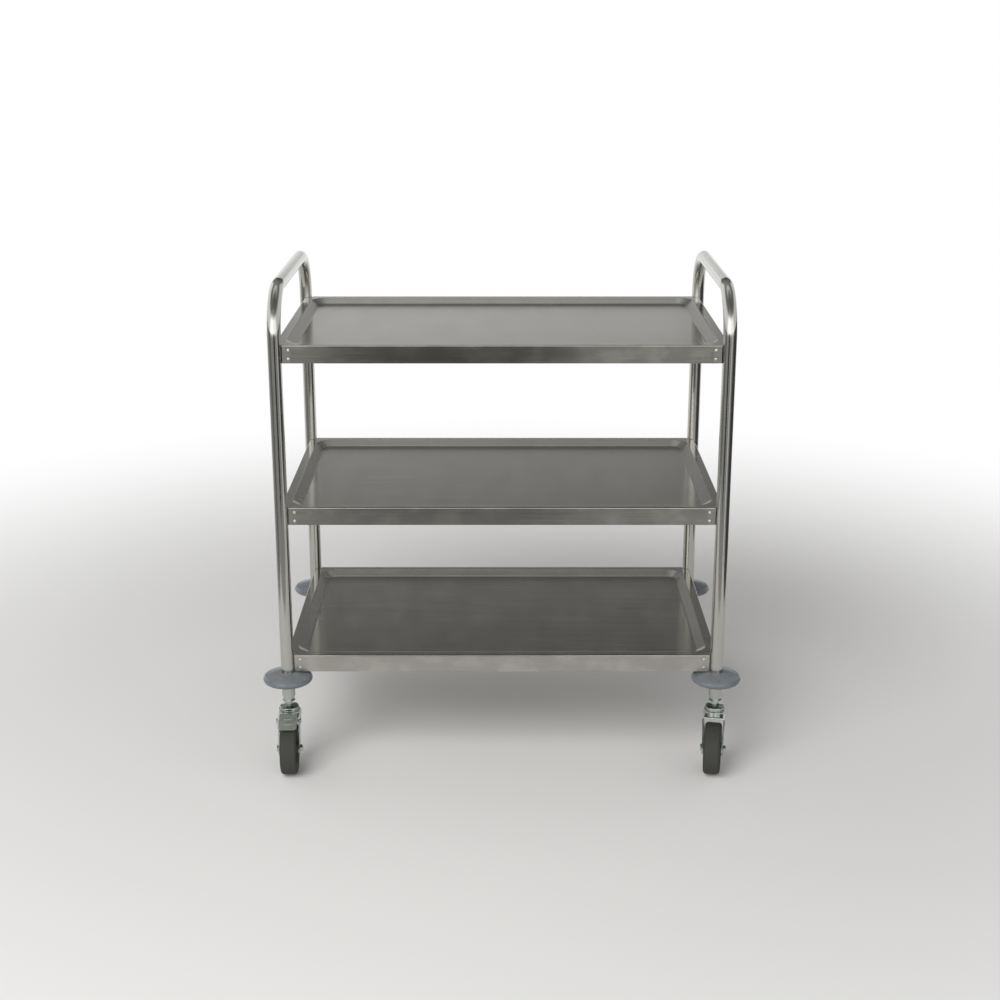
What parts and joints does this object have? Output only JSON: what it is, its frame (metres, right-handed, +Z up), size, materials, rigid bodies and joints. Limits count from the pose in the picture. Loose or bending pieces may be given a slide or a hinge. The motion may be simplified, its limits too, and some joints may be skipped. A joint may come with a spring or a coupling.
{
  "type": "service cart",
  "caption": "Stainless steel service cart: dished trays between bent tube ends whose tops are push handles, rubber corner bumpers and swivel casters with foot brakes.",
  "frame": {"origin": "middle of the footprint, on the floor", "axes": "+Z up from the floor, X along the trays from one handle to the other, +Y away from the viewer of the picture"},
  "size_m": [0.925, 0.6692, 0.95],
  "materials": {
    "polished_tube": "mirror-polished stainless steel tube",
    "satin_tray": "satin stainless sheet with a fine lengthwise grain",
    "zinc_plate": "bright zinc-plated pressed steel",
    "bumper_rubber": "smooth blue-grey moulded rubber with a soft sheen",
    "grey_tyre": "matt dark grey non-marking rubber",
    "hub_plastic": "matt dark grey moulded plastic",
    "pad_rubber": "matt black rubber"
  },
  "bodies": {
    "cart": {"left_frame": "polished_tube", "right_frame": "polished_tube", "top_tray": "satin_tray", "middle_tray": "satin_tray", "bottom_tray": "satin_tray", "tray_stiffeners": "satin_tray", "tray_bolts": "zinc_plate", "tray_washers": "zinc_plate", "rivet_nuts": "zinc_plate", "leg_inserts": "zinc_plate", "stem_lock_nuts": "zinc_plate", "stem_washers": "zinc_plate", "front_left_bumper": "bumper_rubber", "front_left_stem": "zinc_plate", "front_left_swivel_cap": "zinc_plate", "front_left_ball_ring": "zinc_plate", "front_right_bumper": "bumper_rubber", "front_right_stem": "zinc_plate", "front_right_swivel_cap": "zinc_plate", "front_right_ball_ring": "zinc_plate", "rear_left_bumper": "bumper_rubber", "rear_left_stem": "zinc_plate", "rear_left_swivel_cap": "zinc_plate", "rear_left_ball_ring": "zinc_plate", "rear_right_bumper": "bumper_rubber", "rear_right_stem": "zinc_plate", "rear_right_swivel_cap": "zinc_plate", "rear_right_ball_ring": "zinc_plate"},
    "front_left_swivel": {"front_left_fork": "zinc_plate", "front_left_axle_bolt": "zinc_plate", "front_left_axle_nut": "zinc_plate", "front_left_axle_sleeve": "zinc_plate", "front_left_brake_pin": "zinc_plate"},
    "front_left_wheel": {"front_left_wheel_hub": "hub_plastic", "front_left_tyre": "grey_tyre"},
    "front_left_brake": {"front_left_brake_pedal": "zinc_plate", "front_left_brake_pad": "pad_rubber"},
    "front_right_swivel": {"front_right_fork": "zinc_plate", "front_right_axle_bolt": "zinc_plate", "front_right_axle_nut": "zinc_plate", "front_right_axle_sleeve": "zinc_plate"},
    "front_right_wheel": {"front_right_wheel_hub": "hub_plastic", "front_right_tyre": "grey_tyre"},
    "rear_left_swivel": {"rear_left_fork": "zinc_plate", "rear_left_axle_bolt": "zinc_plate", "rear_left_axle_nut": "zinc_plate", "rear_left_axle_sleeve": "zinc_plate"},
    "rear_left_wheel": {"rear_left_wheel_hub": "hub_plastic", "rear_left_tyre": "grey_tyre"},
    "rear_right_swivel": {"rear_right_fork": "zinc_plate", "rear_right_axle_bolt": "zinc_plate", "rear_right_axle_nut": "zinc_plate", "rear_right_axle_sleeve": "zinc_plate", "rear_right_brake_pin": "zinc_plate"},
    "rear_right_wheel": {"rear_right_wheel_hub": "hub_plastic", "rear_right_tyre": "grey_tyre"},
    "rear_right_brake": {"rear_right_brake_pedal": "zinc_plate", "rear_right_brake_pad": "pad_rubber"}
  },
  "joints": [
    {"name": "front_left_swivel_turn", "type": "hinge", "parent": "cart", "child": "front_left_swivel", "pos_m": [-0.415, -0.252, 0.115], "axis": [0, 0, 1], "continuous": true},
    {"name": "front_left_wheel_roll", "type": "hinge", "parent": "front_left_swivel", "child": "front_left_wheel", "pos_m": [-0.41332, -0.28396, 0.05], "axis": [0.9986, 0.0523, 0], "continuous": true},
    {"name": "front_left_brake_press", "type": "hinge", "parent": "front_left_swivel", "child": "front_left_brake", "pos_m": [-0.41374, -0.27597, 0.1045], "axis": [0.9986, 0.0523, 0], "range_deg": [0, 9]},
    {"name": "front_right_swivel_turn", "type": "hinge", "parent": "cart", "child": "front_right_swivel", "pos_m": [0.415, -0.252, 0.115], "axis": [0, 0, 1], "continuous": true},
    {"name": "front_right_wheel_roll", "type": "hinge", "parent": "front_right_swivel", "child": "front_right_wheel", "pos_m": [0.40944, -0.28351, 0.05], "axis": [0.9848, -0.1736, 0], "continuous": true},
    {"name": "rear_left_swivel_turn", "type": "hinge", "parent": "cart", "child": "rear_left_swivel", "pos_m": [-0.415, 0.252, 0.115], "axis": [0, 0, 1], "continuous": true},
    {"name": "rear_left_wheel_roll", "type": "hinge", "parent": "rear_left_swivel", "child": "rear_left_wheel", "pos_m": [-0.41055, 0.28369, 0.05], "axis": [-0.9903, 0.1392, 0], "continuous": true},
    {"name": "rear_right_swivel_turn", "type": "hinge", "parent": "cart", "child": "rear_right_swivel", "pos_m": [0.415, 0.252, 0.115], "axis": [0, 0, 1], "continuous": true},
    {"name": "rear_right_wheel_roll", "type": "hinge", "parent": "rear_right_swivel", "child": "rear_right_wheel", "pos_m": [0.41055, 0.28369, 0.05], "axis": [-0.9903, -0.1392, 0], "continuous": true},
    {"name": "rear_right_brake_press", "type": "hinge", "parent": "rear_right_swivel", "child": "rear_right_brake", "pos_m": [0.41166, 0.27577, 0.1045], "axis": [-0.9903, -0.1392, 0], "range_deg": [0, 9]}
  ]
}
